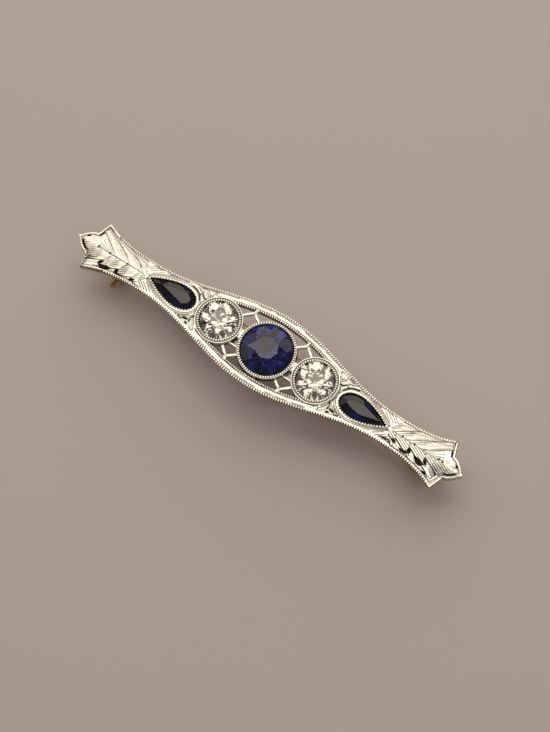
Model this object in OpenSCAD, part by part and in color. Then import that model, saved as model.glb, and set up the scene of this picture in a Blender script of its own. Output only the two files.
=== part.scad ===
// Bar brooch: a pierced white-metal plaque on a thin gold back, set with a round
// sapphire, two old-cut diamonds and two pear-shaped sapphires, with a hinged pin
// and a turning safety catch. It lies face up: the surface under it is z = 0,
// x runs along the bar and the leaf-shaped ends point to -x and +x.

/* [Plaque] */
// Length of the brooch from point to point
overall_l = 57; // [56:0.5:60]
// Width across the middle of the plaque
mid_w = 10.3; // [10.1:0.1:10.8]
// Width at the waists, between the pear stones and the leaf ends
waist_w = 4.1; // [4:0.1:4.6]
// Width across the corners of the leaf ends
end_w = 6.9; // [6.2:0.1:7.6]
// Distance of each waist from the middle
waist_x = 18; // [17.5:0.1:18.5]
// Distance of the end corners from the middle
corner_x = 25.9; // [25.6:0.1:26.2]
// Width of the border strip round the pierced gallery
border_w = 1.1; // [1:0.05:1.2]
// Height of the plaque's face above the surface, at the middle
face_h = 7; // [6.8:0.1:8]
// How much lower the end corners lie than the middle of the arched plaque
arch_drop = 0.8; // [0.2:0.1:1.2]
// Thickness of the white-metal plate
plate_t = 0.65; // [0.6:0.05:0.8]
// Thickness of the gold layer under it
gold_t = 0.3; // [0.25:0.05:0.4]

/* [Stones] */
// Diameter of the round sapphire in the middle
sapphire_d = 6.85; // [6.6:0.05:6.9]
// Diameter of each round diamond
diamond_d = 5.1; // [4.9:0.05:5.15]
// Distance of the diamonds from the middle
diamond_x = 7.15; // [7.1:0.05:7.25]
// Length of each pear-shaped sapphire
pear_l = 6.7; // [6.4:0.05:6.9]
// Width of each pear-shaped sapphire
pear_w = 3; // [2.7:0.05:3.1]
// Distance of the pear stones' middles from the middle of the plaque
pear_x = 14.2; // [14.1:0.05:14.5]

/* [Pin and catch] */
// Height of the pin's axis above the surface, also the radius of the hinge and the catch
pin_z = 1.4; // [1.3:0.05:1.6]
// Diameter of the pin's stem
stem_d = 0.9; // [0.7:0.05:1]
// Place of the hinge along the bar
hinge_x = 23.2; // [22.5:0.1:24]
// Diameter of the rivet that the pin turns on
rivet_d = 0.7; // [0.5:0.05:0.8]
// Place of the catch along the bar
catch_x = -22.4; // [-22.8:0.1:-21.4]
// Distance from the pin's axis to the middle of the lever's ball
lever_l = 2.05; // [1.9:0.05:2.3]

/* [Hidden] */

tip_x = overall_l / 2;
notch = [26.6 / 25.9 * corner_x, end_w * 0.22];
tip_power = 1.7;
flare_power = 2.7;
swell_power = 1.06;
edge_steps = 30;
tip_steps = 5;
arch_steps = 28;
gap = 0.03;
round_fn = 96;

rim_z = face_h + 0.3;
collet_wall = 0.42;
sapphire_wall = 0.32;
diamond_wall = 0.5;
collet_depth = 2.7;
collet_upright = 1.1;
collet_foot = 0.72;
rim_bevel = [0.12, 0.25];
rim_lip = [0.1, 0.06];
seat_w = 0.25;
seat_fall = 0.27;
seat_edge_t = 0.14;
sapphire_r = sapphire_d / 2;
diamond_r = diamond_d / 2;
sapphire_o = sapphire_r + sapphire_wall;
diamond_o = diamond_r + diamond_wall;
girdle_below_rim = 0.25;
girdle_t = 0.12;
diamond_rim = rim_z - 0.1;
// Cut of a round stone: table's share of the width, heights of crown and pavilion,
// culet's share of the width
sapphire_cut = [0.44, 1.1, 2.85, 0.04];
diamond_cut = [0.44, 0.85, 2.15, 0.09];
diamond_turn = 11;
facets = 8;
facet_dot = 0.005;

strut_w = 0.42;
strut_below = 0.3;
strut_t = plate_t - strut_below;
strut_lean = 0.15;
strut_joint = [3.95, 3.35];
// Directions of a strut's two feet, seen from the middle of the sapphire and of the
// diamond, and how far they reach into the collets
foot_turn = [40.8, 131.8];
foot_in = 0.12;
strut_feet = [
    (sapphire_o - foot_in) * [cos(foot_turn[0]), sin(foot_turn[0])],
    [diamond_x, 0] + (diamond_o - foot_in) * [cos(foot_turn[1]), sin(foot_turn[1])]];
joint_in = 0.3;
bridge_y = 1.5;
bridge_w = 0.4;
bridge_below = 0.7;
bridge_deep = 0.5;
bridge_in = 0.65;
pad_w = 0.8;
pad_in = 0.2;
pad_low = 0.05;
pad_below = 0.3;
pad_deep = 0.9;

pear_wall = 0.42;
pear_up = 0.12;
pear_down = 1.9;
pear_peak = 0.77;
pear_pocket = 0.75;
pear_seat = [0.25, 0.15];
pear_lip = [0.06, 0.1];
pear_crown = 0.55;
pear_pavilion = 1.35;
pear_table = [0.58, 0.56, -0.15];
// Places along a pear stone and depth shares of the two ends of its keel
pear_keel = [[-0.9, 1, 0.08], [0.6, 0.8, 0.05]];

rim_w = 0.5;
panel_deep = 0.3;
panel_x = 18.7;
// One row for each pair of leaf lobes: where it leaves the stem, where it ends
leaf_lobes = [[18.9, 21.2], [20.3, 22.9], [21.8, 24.5], [23.3, 25.6]];
lobe_w = 1.15;
lobe_edge = 0.25;
lobe_slant = 0.45;
leaf_stem = [0.22, 0.35];
leaf_end = 1.3;

back_z = face_z(hinge_x) - plate_t - gap - gold_t;
lug_t = 0.5;
knuckle_w = 1.4;
knuckle_r = pin_z - 0.25;
rivet_play = 0.03;
// Radii of a rivet head at the lug and outside, and its height
rivet_head = [0.55, 0.35, 0.22];
bridge_t = 0.45;
mouth_w = 0.82;
catch_l = 1.8;
catch_r = norm([pin_z, mouth_w / 2]);
catch_w = 1.96;
roller_r = 0.68;
roller_bore = 0.38;
roller_l = 1.7;
lever_d = 0.45;
ball_d = 0.72;
lever_swing = 60;
lever_play = [0.08, 0.12];
slot_play = 0.05;
post_w = 0.8;
root_x = 20.5;
root_r = 0.58;
root_in = 0.6;
stem_tip_x = -25.4;
point_x = -21.6;
taper_x = -6;
point_r = 0.28;
point_end_r = 0.04;

// Half width of the plaque at x: a cosine swell between the waists, then a flare
function half_w(x) =
    abs(x) < waist_x
    ? waist_w / 2 + (mid_w - waist_w) / 2
      * pow((1 + cos(180 * x / waist_x)) / 2, swell_power)
    : waist_w / 2 + (end_w - waist_w) / 2
      * pow((abs(x) - waist_x) / (corner_x - waist_x), flare_power);

// Height of the arched face at x
function face_z(x) = face_h - arch_drop * pow(x / corner_x, 2);

function turned(p, sx, sy) = [for (q = p) [sx * q[0], sy * q[1]]];
function backwards(p) = [for (i = [len(p) - 1:-1:0]) p[i]];
function but_last(p) = [for (i = [0:len(p) - 2]) p[i]];

// One quarter of the outline, from the middle of the long edge to the point
function quarter(inset) = concat(
    [for (i = [0:edge_steps]) let (x = corner_x * i / edge_steps) [x, half_w(x) - inset]],
    [for (i = [0:tip_steps]) let (t = i / tip_steps)
        [notch[0] + (tip_x - notch[0]) * t - inset, notch[1] * (1 - pow(t, tip_power))]]);

function outline(inset) = let (q = quarter(inset)) concat(
    but_last(q),
    but_last(turned(backwards(q), 1, -1)),
    but_last(turned(q, -1, -1)),
    but_last(turned(backwards(q), -1, 1)));

// A layer that follows the arch, its top lying below the face by the first value
module arched_layer(below, thick) {
    xs = [for (i = [0:arch_steps]) tip_x * (2 * i / arch_steps - 1)];
    top = [for (x = xs) [x, face_z(x) - below]];
    bottom = [for (x = xs) [x, face_z(x) - below - thick]];
    rotate([90, 0, 0])
        linear_extrude(height = mid_w + end_w, center = true)
            polygon(concat(top, backwards(bottom)));
}

module upright(h = 3 * face_h) {
    linear_extrude(height = h, center = true) children();
}

module both_ends() {
    children();
    mirror([1, 0, 0]) children();
}

module four_ways() {
    both_ends() {
        children();
        mirror([0, 1, 0]) children();
    }
}

// Pear outline with its point towards +x
module pear_2d(l, w) {
    polygon([for (a = [0:10:350])
        [l / 2 * cos(a), w / 2 * sin(a) * sin(a / 2) / pear_peak]]);
}

// The gallery's space between the border strips, without the round collets
module gallery_2d(collet_gap) {
    xs = [for (i = [-8:8]) diamond_x * i / 8];
    difference() {
        polygon(concat([for (x = xs) [x, half_w(x) - border_w]],
                       [for (x = backwards(xs)) [x, border_w - half_w(x)]]));
        circle(r = sapphire_o - collet_gap, $fn = round_fn);
        both_ends() translate([diamond_x, 0])
            circle(r = diamond_o - collet_gap, $fn = round_fn);
    }
}

// The three round wells and the two pear-shaped ones
module wells_2d(r_sapphire, r_diamond, pear_grow) {
    circle(r = r_sapphire, $fn = round_fn);
    both_ends() {
        translate([diamond_x, 0]) circle(r = r_diamond, $fn = round_fn);
        translate([pear_x, 0]) pear_2d(pear_l + 2 * pear_grow, pear_w + 2 * pear_grow);
    }
}

// Tapered collet with a lip over the stone's girdle and a ledge under it
module collet(stone_r, outer_r, rim) {
    girdle = rim - girdle_below_rim;
    ledge = girdle - girdle_t;
    seat = ledge - seat_fall - gap;
    foot_r = outer_r * collet_foot;
    rotate_extrude($fn = round_fn) polygon([
        [outer_r - rim_bevel[0], rim],
        [outer_r, rim - rim_bevel[1]],
        [outer_r, rim - collet_upright],
        [foot_r, rim - collet_depth],
        [foot_r - collet_wall, rim - collet_depth],
        [stone_r - seat_w, seat - seat_edge_t],
        [stone_r - seat_w, seat],
        [stone_r + gap, ledge - gap],
        [stone_r + gap, girdle + gap],
        [stone_r - rim_lip[0], rim - rim_lip[1]],
        [stone_r - rim_lip[0], rim]]);
}

module pear_setting() {
    translate([pear_x, 0, 0]) difference() {
        translate([0, 0, face_z(pear_x) - pear_down])
            linear_extrude(height = pear_down + pear_up)
                pear_2d(pear_l + 2 * pear_wall, pear_w + 2 * pear_wall);
        upright() pear_2d(pear_l - 2 * pear_seat[0], pear_w - 2 * pear_seat[1]);
        translate([0, 0, face_z(pear_x) - pear_pocket])
            linear_extrude(height = pear_pocket + pear_up - pear_lip[1])
                pear_2d(pear_l + 2 * gap, pear_w + 2 * gap);
        translate([0, 0, face_z(pear_x)])
            linear_extrude(height = 1) pear_2d(pear_l - 2 * pear_lip[0], pear_w - 2 * pear_lip[0]);
    }
}

// A straight bar between two points of the plan
module bar_2d(a, b, w) {
    d = b - a;
    translate(a) rotate(atan2(d[1], d[0])) translate([0, -w / 2]) square([norm(d), w]);
}

// One quarter of the gallery's struts, lying a little below the face
module struts() {
    border = [strut_joint[0] - strut_lean, half_w(strut_joint[0]) - border_w + joint_in];
    translate([0, 0, face_h - strut_below - strut_t]) linear_extrude(height = strut_t) {
        bar_2d(border, strut_joint, strut_w);
        for (foot = strut_feet) bar_2d(strut_joint, foot, strut_w);
        translate(strut_joint) circle(d = strut_w, $fn = 24);
    }
    between = [sapphire_o - bridge_in, diamond_x - diamond_o + bridge_in];
    translate([between[0], bridge_y - bridge_w / 2, face_h - bridge_below - bridge_deep])
        cube([between[1] - between[0], bridge_w, bridge_deep]);
    translate([sapphire_o - pad_in, -0.01, face_h - pad_below - pad_deep])
        cube([diamond_x - diamond_o - sapphire_o + 2 * pad_in, pad_w, pad_deep]);
    translate([-0.01, sapphire_o - pad_in, face_h - plate_t])
        cube([pad_w, mid_w / 2 - border_w - sapphire_o + 2 * pad_in, plate_t - pad_low]);
}

// Outline of the sunk panel inside the rim of the +x end
module panel_2d() {
    xs = [for (i = [1:6]) panel_x + (corner_x - 0.35 - panel_x) * i / 6];
    side = [for (x = xs) [x, half_w(x) - rim_w]];
    end = [[notch[0] - 0.45, notch[1] - 0.15], [tip_x - 1.7, notch[1] * 0.62], [tip_x - 0.9, 0]];
    half = concat([[panel_x, 0]], side, end);
    polygon(concat(half, backwards([for (i = [1:len(half) - 2]) [half[i][0], -half[i][1]]])));
}

// Leaf with slanting lobes along a stem that runs to the point of the +x end
module leaf_2d() {
    reach = tip_x - leaf_end;
    polygon([[panel_x - 0.5, -leaf_stem[0]], [reach - 2, -leaf_stem[1]], [reach, 0],
             [reach - 2, leaf_stem[1]], [panel_x - 0.5, leaf_stem[0]]]);
    for (side = [1, -1], lobe = leaf_lobes) {
        y_end = half_w(lobe[1]) - rim_w - lobe_edge;
        polygon([[lobe[0], 0],
                 [(lobe[0] + lobe[1]) / 2 - 0.1, side * y_end * 0.72],
                 [lobe[1] - lobe_edge, side * y_end],
                 [lobe[1] + lobe_edge, side * (y_end - lobe_slant)],
                 [lobe[0] + lobe_w + 0.35, 0]]);
    }
}

module white_mount() {
    color("gainsboro") {
        intersection() {
            arched_layer(0, plate_t);
            difference() {
                upright() polygon(outline(0));
                upright() gallery_2d(0.1);
                upright() wells_2d(sapphire_r + gap, diamond_r + gap, 0.1);
                both_ends() intersection() {
                    arched_layer(-0.5, 0.5 + panel_deep);
                    upright() difference() {
                        panel_2d();
                        leaf_2d();
                    }
                }
            }
        }
        collet(sapphire_r, sapphire_o, rim_z);
        both_ends() {
            translate([diamond_x, 0, 0]) collet(diamond_r, diamond_o, diamond_rim);
            pear_setting();
        }
        four_ways() struts();
    }
}

// U-shaped bracket with two round-ended lugs and a bore for the rivet
module hinge_bracket() {
    width = knuckle_w + 2 * gap + 2 * lug_t;
    translate([hinge_x, 0, 0]) difference() {
        union() {
            translate([0, 0, pin_z]) rotate([90, 0, 0])
                cylinder(r = pin_z, h = width, center = true, $fn = round_fn);
            translate([-pin_z, -width / 2, pin_z]) cube([2 * pin_z, width, back_z - pin_z + 0.1]);
        }
        translate([-3, -knuckle_w / 2 - gap, -1])
            cube([6, knuckle_w + 2 * gap, back_z - bridge_t + 1]);
        translate([0, 0, pin_z]) rotate([90, 0, 0])
            cylinder(d = rivet_d + 0.02, h = width + 1, center = true, $fn = round_fn);
    }
}

// Housing with a round foot and flat sides that opens downwards, on a post, with a
// window for the lever
module catch_housing() {
    translate([catch_x, 0, 0]) difference() {
        union() {
            intersection() {
                translate([0, 0, pin_z]) rotate([0, 90, 0])
                    cylinder(r = catch_r, h = catch_l, center = true, $fn = round_fn);
                translate([-catch_l, -catch_w / 2, -1])
                    cube([2 * catch_l, catch_w, 2 * catch_r + 2]);
            }
            translate([-catch_l / 2, -post_w / 2, pin_z])
                cube([catch_l, post_w, back_z - pin_z + 0.15]);
        }
        translate([0, 0, pin_z]) rotate([0, 90, 0])
            cylinder(r = roller_r + gap, h = catch_l + 1, center = true, $fn = round_fn);
        translate([-catch_l, -mouth_w / 2, -1]) cube([2 * catch_l, mouth_w, pin_z + 1]);
        translate([0, 0, pin_z]) for (a = [0:15:lever_swing]) rotate([-a, 0, 0])
            translate([-lever_d / 2 - lever_play[0], -2, -lever_d / 2 - lever_play[1]])
                cube([lever_d + 2 * lever_play[0], 2, lever_d + 2 * lever_play[1]]);
    }
}

module gold_back() {
    color("goldenrod") {
        intersection() {
            arched_layer(plate_t + gap, gold_t);
            difference() {
                upright() polygon(outline(gap));
                upright() gallery_2d(0.1);
                upright() wells_2d(sapphire_o + gap, diamond_o + gap, pear_wall + gap);
            }
        }
        hinge_bracket();
        catch_housing();
    }
}

module hinge_rivet() {
    half = knuckle_w / 2 + gap + lug_t;
    color("goldenrod") translate([hinge_x, 0, pin_z]) rotate([90, 0, 0]) {
        cylinder(d = rivet_d, h = 2 * (half + 2 * gap), center = true, $fn = round_fn);
        for (side = [0, 1]) mirror([0, 0, side]) translate([0, 0, half + gap])
            cylinder(r1 = rivet_head[0], r2 = rivet_head[1], h = rivet_head[2],
                     $fn = round_fn);
    }
}

module pin_stem() {
    stem_r = stem_d / 2;
    color("gold") translate([0, 0, pin_z]) difference() {
        union() {
            translate([hinge_x, 0, 0]) rotate([90, 0, 0])
                cylinder(r = knuckle_r, h = knuckle_w, center = true, $fn = round_fn);
            translate([root_x, 0, 0]) rotate([0, 90, 0])
                cylinder(r1 = stem_r, r2 = root_r, h = hinge_x - root_x - root_in,
                         $fn = round_fn);
            translate([taper_x, 0, 0]) rotate([0, 90, 0])
                cylinder(r = stem_r, h = root_x - taper_x + 0.01, $fn = round_fn);
            translate([taper_x, 0, 0]) rotate([0, -90, 0])
                cylinder(r1 = stem_r, r2 = point_r, h = taper_x - point_x, $fn = round_fn);
            translate([point_x, 0, 0]) rotate([0, -90, 0])
                cylinder(r1 = point_r, r2 = point_end_r, h = point_x - stem_tip_x,
                         $fn = round_fn);
        }
        translate([hinge_x, 0, 0]) rotate([90, 0, 0])
            cylinder(d = rivet_d + 2 * rivet_play, h = knuckle_w + 1, center = true,
                     $fn = round_fn);
    }
}

module catch_lever() {
    color("gold") translate([catch_x, 0, pin_z]) {
        difference() {
            rotate([0, 90, 0])
                cylinder(r = roller_r, h = roller_l, center = true, $fn = round_fn);
            rotate([0, 90, 0])
                cylinder(r = roller_bore, h = roller_l + 1, center = true, $fn = round_fn);
            translate([-roller_l, -mouth_w / 2 + slot_play, -2])
                cube([2 * roller_l, mouth_w - 2 * slot_play, 2]);
        }
        arm_from = (roller_bore + roller_r) / 2;
        translate([0, -arm_from, 0]) rotate([90, 0, 0])
            cylinder(d = lever_d, h = lever_l - arm_from, $fn = 48);
        translate([0, -lever_l, 0]) sphere(d = ball_d, $fn = 48);
    }
}

// Round brilliant: table, stars, kites and upper girdle facets over a pavilion
module round_stone(r, cut) {
    table_r = r * cut[0];
    star_r = (table_r + r) / 2;
    star_z = cut[1] * (r - star_r * cos(180 / facets)) / (r - table_r);
    hull() {
        for (k = [0:facets - 1]) rotate(360 / facets * k) {
            translate([table_r, 0, cut[1] - facet_dot]) dot();
            rotate(180 / facets) translate([star_r, 0, star_z - facet_dot]) dot();
            translate([r * cut[3], 0, -girdle_t - cut[2]]) dot();
        }
        translate([0, 0, -girdle_t]) cylinder(r = r, h = girdle_t, $fn = 4 * facets);
    }
}

// Tiny prism that marks one corner of a stone
module dot() {
    cylinder(r = facet_dot, h = facet_dot, $fn = 3);
}

// Pear cut with its point towards +x: a table, a crown and a keeled pavilion
module pear_stone() {
    hull() {
        translate([pear_table[2], 0, pear_crown - facet_dot]) linear_extrude(height = facet_dot)
            pear_2d(pear_l * pear_table[0], pear_w * pear_table[1]);
        translate([0, 0, -girdle_t]) linear_extrude(height = girdle_t) pear_2d(pear_l, pear_w);
        for (end = pear_keel) translate([end[0], 0, -girdle_t - pear_pavilion * end[1]])
            cylinder(r = end[2], h = facet_dot, $fn = 6);
    }
}

module sapphire_center() {
    color("mediumblue") translate([0, 0, rim_z - girdle_below_rim])
        round_stone(sapphire_r, sapphire_cut);
}

module placed_diamond(x) {
    color("aliceblue") translate([x, 0, diamond_rim - girdle_below_rim])
        rotate(diamond_turn) round_stone(diamond_r, diamond_cut);
}

module placed_pear(side) {
    color("navy") mirror([side, 0, 0])
        translate([pear_x, 0, face_z(pear_x) - girdle_t]) pear_stone();
}

module diamond_left() { placed_diamond(-diamond_x); }
module diamond_right() { placed_diamond(diamond_x); }
module sapphire_pear_left() { placed_pear(1); }
module sapphire_pear_right() { placed_pear(0); }

white_mount();
gold_back();
hinge_rivet();
pin_stem();
catch_lever();
sapphire_center();
diamond_left();
diamond_right();
sapphire_pear_left();
sapphire_pear_right();
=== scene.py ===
import math

import bmesh
import bpy
import numpy as np
from bpy.props import FloatProperty, PointerProperty, StringProperty
from bpy.types import Operator, Panel, PropertyGroup
from mathutils import Matrix, Vector


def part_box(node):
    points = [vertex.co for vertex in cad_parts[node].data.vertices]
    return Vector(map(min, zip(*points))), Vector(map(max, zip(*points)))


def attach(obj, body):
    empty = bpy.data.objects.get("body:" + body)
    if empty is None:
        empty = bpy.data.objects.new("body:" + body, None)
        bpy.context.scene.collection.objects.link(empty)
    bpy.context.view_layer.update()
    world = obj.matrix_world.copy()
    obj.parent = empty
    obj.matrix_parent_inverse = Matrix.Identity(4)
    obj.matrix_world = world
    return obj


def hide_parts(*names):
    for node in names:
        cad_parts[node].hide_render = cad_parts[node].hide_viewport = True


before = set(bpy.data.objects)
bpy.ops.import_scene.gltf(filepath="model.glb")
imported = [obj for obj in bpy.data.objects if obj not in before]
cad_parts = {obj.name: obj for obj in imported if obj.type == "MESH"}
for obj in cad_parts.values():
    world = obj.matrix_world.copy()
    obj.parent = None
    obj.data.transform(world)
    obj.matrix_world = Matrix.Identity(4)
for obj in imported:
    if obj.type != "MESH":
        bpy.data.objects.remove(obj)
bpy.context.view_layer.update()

bl_info = {
    "name": "Bar brooch",
    "version": (1, 0, 0),
    "blender": (4, 5, 0),
    "location": "View3D > Sidebar > Brooch",
    "description": "Builds a pierced, millegrained bar brooch round its solids",
    "category": "Object",
}

MM = 0.001
BODY = "brooch"

# Plan of the plaque in millimetres, as in the solids: a cosine swell between the
# waists, then a flare to the corners, and a three-pointed end
TIP_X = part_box("white_mount")[1].x / MM
MID_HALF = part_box("white_mount")[1].y / MM
WAIST_HALF = 2.05
WAIST_X = 18.0
SWELL_POWER = 1.06
CORNER_X = 25.9
CORNER_Y = 3.45
FLARE_POWER = 2.7
NOTCH = (26.6, 1.52)
TIP_POWER = 1.7
FACE_Z = 7.0
ARCH_DROP = 0.8
PLATE_T = 0.65

# Stones and their settings
RIM_Z = FACE_Z + 0.3
DIAMOND_RIM = RIM_Z - 0.1
DIAMOND_X = 7.15
PEAR_X = 14.2
PEAR_PEAK = 0.77
GIRDLE_BELOW_RIM = 0.25
GIRDLE_T = 0.12
SAPPHIRE_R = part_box("sapphire_center")[1].y / MM
DIAMOND_R = (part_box("diamond_right")[1].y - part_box("diamond_right")[0].y) / MM / 2
SAPPHIRE_COLLET_R = SAPPHIRE_R + 0.32
DIAMOND_COLLET_R = DIAMOND_R + 0.5
COLLET_DEPTH = 2.7
PEAR_L = 6.7
PEAR_W = 3.0
SAPPHIRE_IOR = 1.77
DIAMOND_IOR = 2.417

# The border strips end and the carved ends start here, a little overlapped
STRIP_END = 8.05
END_START = 8.0

# Spacing in mm of the finest bead rows, of the pears' rows, of the near lobes' hatching, of
# the grains below it and of the near left corner's knurling
FINE_PITCH = 0.31
PEAR_PITCH = 0.36
HATCH_PITCH = 0.3
GRAIN_PITCH = 0.42
KNURL_PITCH = 0.38


def half_width(x):
    """Half width of the plaque between its corners, in mm."""
    ax = np.abs(np.asarray(x, float))
    swell = ((1 + np.cos(np.pi * np.minimum(ax, WAIST_X) / WAIST_X)) / 2) ** SWELL_POWER
    flare = (np.maximum(ax - WAIST_X, 0) / (CORNER_X - WAIST_X)) ** FLARE_POWER
    return WAIST_HALF + (MID_HALF - WAIST_HALF) * swell + (CORNER_Y - WAIST_HALF) * flare


def outline_half(x):
    """Half width over the whole length, with the slanted corner and the pointed tip."""
    ax = np.abs(np.asarray(x, float))
    side = half_width(np.minimum(ax, CORNER_X))
    slant = np.interp(ax, [CORNER_X, NOTCH[0]], [CORNER_Y, NOTCH[1]])
    t = np.clip((ax - NOTCH[0]) / (TIP_X - NOTCH[0]), 0, 1)
    point = NOTCH[1] * (1 - t ** TIP_POWER)
    return np.where(ax <= CORNER_X, side, np.where(ax <= NOTCH[0], slant, point))


def face_height(x):
    """Height of the arched face, in mm."""
    return FACE_Z - ARCH_DROP * (np.asarray(x, float) / CORNER_X) ** 2


def underside(x):
    """Height of the plaque's underside, in mm."""
    return float(face_height(x)) - PLATE_T


def pear_bow(a):
    """Half width of a pear outline at angle a from its point, as a share of the widest."""
    return np.sin(a) * np.sin(a / 2) / PEAR_PEAK


def pear_points(length, width, count, start=0.0, stop=2 * math.pi):
    """Points of a pear outline about its own middle, point towards +x."""
    a = np.linspace(start, stop, count)
    return np.stack([length / 2 * np.cos(a), width / 2 * pear_bow(a)], -1)


def smooth(edge_a, edge_b, x):
    """0 at edge_a, 1 at edge_b, eased between."""
    t = np.clip((np.asarray(x, float) - edge_a) / (edge_b - edge_a), 0, 1)
    return t * t * (3 - 2 * t)


def distance_to(points, line):
    """Distance of each plan point from a polyline."""
    best = np.full(len(points), 1e9)
    line = np.asarray(line, float)
    for a, b in zip(line[:-1], line[1:]):
        d = b - a
        t = np.clip(((points - a) @ d) / max(d @ d, 1e-12), 0, 1)
        best = np.minimum(best, np.linalg.norm(points - a - t[:, None] * d, axis=1))
    return best


def cut(distance, width):
    """A V-shaped graver cut: 1 at its bottom, 0 beyond its width."""
    return np.clip(1 - distance / width, 0, 1)


def srgb(hex_colour):
    """Linear RGBA from an sRGB hex value."""
    value = hex_colour.lstrip("#")
    channels = [int(value[i:i + 2], 16) / 255 for i in (0, 2, 4)]
    linear = [c / 12.92 if c <= 0.04045 else ((c + 0.055) / 1.055) ** 2.4 for c in channels]
    return (*linear, 1.0)


def warped_grid(nu, nv, place):
    """A grid whose corners run over u and v from 0 to 1, each vertex set by place.

    place takes arrays u and v and gives x, y, z in mm and a darkness value, partly soiling and
    partly painted shade."""
    bm = bmesh.new()
    grime_and_shade = bm.verts.layers.float.new("grime_and_shade")
    bmesh.ops.create_grid(bm, x_segments=nu, y_segments=nv, size=1.0)
    verts = bm.verts[:]
    co = np.array([v.co for v in verts])
    x, y, z, dirt_and_shade = place((co[:, 0] + 1) / 2, (co[:, 1] + 1) / 2)
    for v, px, py, pz, pg in zip(verts, x, y, z, dirt_and_shade):
        v.co = (px, py, pz)
        v[grime_and_shade] = pg
    return bm


def lower(bm, made):
    """Moves the vertices just extruded down to the underside and paints them fully dark, as
    painted shade down the walls and under the plaque.
    """
    grime_and_shade = bm.verts.layers.float["grime_and_shade"]
    for v in (g for g in made["geom"] if isinstance(g, bmesh.types.BMVert)):
        v.co.z = underside(v.co.x)
        v[grime_and_shade] = 1.0


def thicken(bm):
    """Closes a sheet down to the underside."""
    made = bmesh.ops.extrude_face_region(bm, geom=bm.faces[:], use_keep_orig=True)
    lower(bm, made)


def close_below(bm):
    """Drops walls from every open edge to the underside, and fills it."""
    rim = [e for e in bm.edges if e.is_boundary]
    made = bmesh.ops.extrude_edge_only(bm, edges=rim)
    lower(bm, made)
    low = [g for g in made["geom"] if isinstance(g, bmesh.types.BMEdge) and g.is_boundary]
    bmesh.ops.triangle_fill(bm, edges=low, use_beauty=True, normal=(0, 0, -1))


def placed(centre, turn, size):
    """Matrix that sizes a unit shape, turns it about z and moves it to its centre."""
    return (Matrix.Translation(centre) @ Matrix.Rotation(turn, 4, "Z")
            @ Matrix.Diagonal((*size, 1)))


def add_bar(bm, centre, size, turn=0.0, bevel=0.0, segments=2):
    """Adds a bar in mm, with rounded edges where bevel isn't 0."""
    made = bmesh.ops.create_cube(bm, size=1.0, matrix=placed(centre, turn, size))
    if bevel:
        edges = dict.fromkeys(e for v in made["verts"] for e in v.link_edges)
        bmesh.ops.bevel(bm, geom=list(edges), offset=bevel, segments=segments,
                        affect="EDGES", profile=0.5, material=-1)


def finished_mesh(name, bm):
    """Turns a bmesh into a mesh and frees it."""
    mesh = bpy.data.meshes.new(name)
    bm.to_mesh(mesh)
    bm.free()
    return mesh


def add_object(name, data):
    """A new object, linked to the scene."""
    obj = bpy.data.objects.new(name, data)
    bpy.context.scene.collection.objects.link(obj)
    return obj


def add_piece(name, bm, material=None, body=BODY, replaces=(),
              smooth_angle=None):
    """Turns a bmesh in mm into a finished piece that rides on a body.

    It is of the white metal where no material is given."""
    bmesh.ops.recalc_face_normals(bm, faces=bm.faces)
    bmesh.ops.transform(bm, matrix=Matrix.Scale(MM, 4), verts=bm.verts)
    mesh = finished_mesh(name, bm)
    obj = add_object(name, mesh)
    mesh.materials.append(material or bpy.data.materials["platinum_burnished"])
    if smooth_angle is not None:
        mesh.shade_smooth()
        mesh.set_sharp_from_angle(angle=math.radians(smooth_angle))
    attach(obj, body)
    if replaces:
        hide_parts(*replaces)


def add_node(tree, kind, at, links=(), **settings):
    """Adds a shader node, sets its inputs (in_) and settings, then links sockets to it."""
    node = tree.nodes.new("ShaderNode" + kind)
    node.location = at
    for key, value in settings.items():
        if key.startswith("in_"):
            node.inputs[key[3:].replace("_", " ")].default_value = value
        else:
            setattr(node, key, value)
    for source, target in links:
        tree.links.new(source, node.inputs[target])
    return node


def new_material(name):
    """A material with no nodes yet."""
    material = bpy.data.materials.get(name) or bpy.data.materials.new(name)
    material.use_nodes = True
    material.node_tree.nodes.clear()
    return material


def platinum():
    # Platinum, bright-cut and burnished: a warm white mirror darkened by a painted value in its
    # cuts, hollows, walls and underside, partly soiling and partly painted shade, and whose skin
    # is slightly uneven, in waves of about 0.9 mm, from the burnisher
    look = bpy.context.scene.brooch_metal
    tree = new_material("platinum_burnished").node_tree
    coords = add_node(tree, "TexCoord", (-1200, 0))
    waves = add_node(tree, "TexNoise", (-1000, -200), [(coords.outputs["Object"], "Vector")],
                     in_Scale=1 / (0.9 * MM), in_Detail=3.0, in_Roughness=0.55)
    dirt_and_shade = add_node(tree, "Attribute", (-1000, 200), attribute_name="grime_and_shade")
    tone = add_node(tree, "Mix", (-500, 200), [(dirt_and_shade.outputs["Fac"], "Factor")],
                    data_type="RGBA", in_A=srgb(look.platinum), in_B=srgb(look.tarnish_and_shade))
    rough = add_node(tree, "MapRange", (-500, -50), [(waves.outputs["Fac"], "Value")],
                     in_To_Min=look.roughness * 0.7, in_To_Max=look.roughness * 1.5)
    bump = add_node(tree, "Bump", (-500, -350), [(waves.outputs["Fac"], "Height")],
                    in_Strength=0.5, in_Distance=0.06 * MM)
    shader = add_node(tree, "BsdfPrincipled", (-200, 0),
                      [(tone.outputs["Result"], "Base Color"),
                       (rough.outputs["Result"], "Roughness"),
                       (bump.outputs["Normal"], "Normal")],
                      in_Metallic=1.0)
    add_node(tree, "OutputMaterial", (100, 0), [(shader.outputs["BSDF"], "Surface")])


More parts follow.
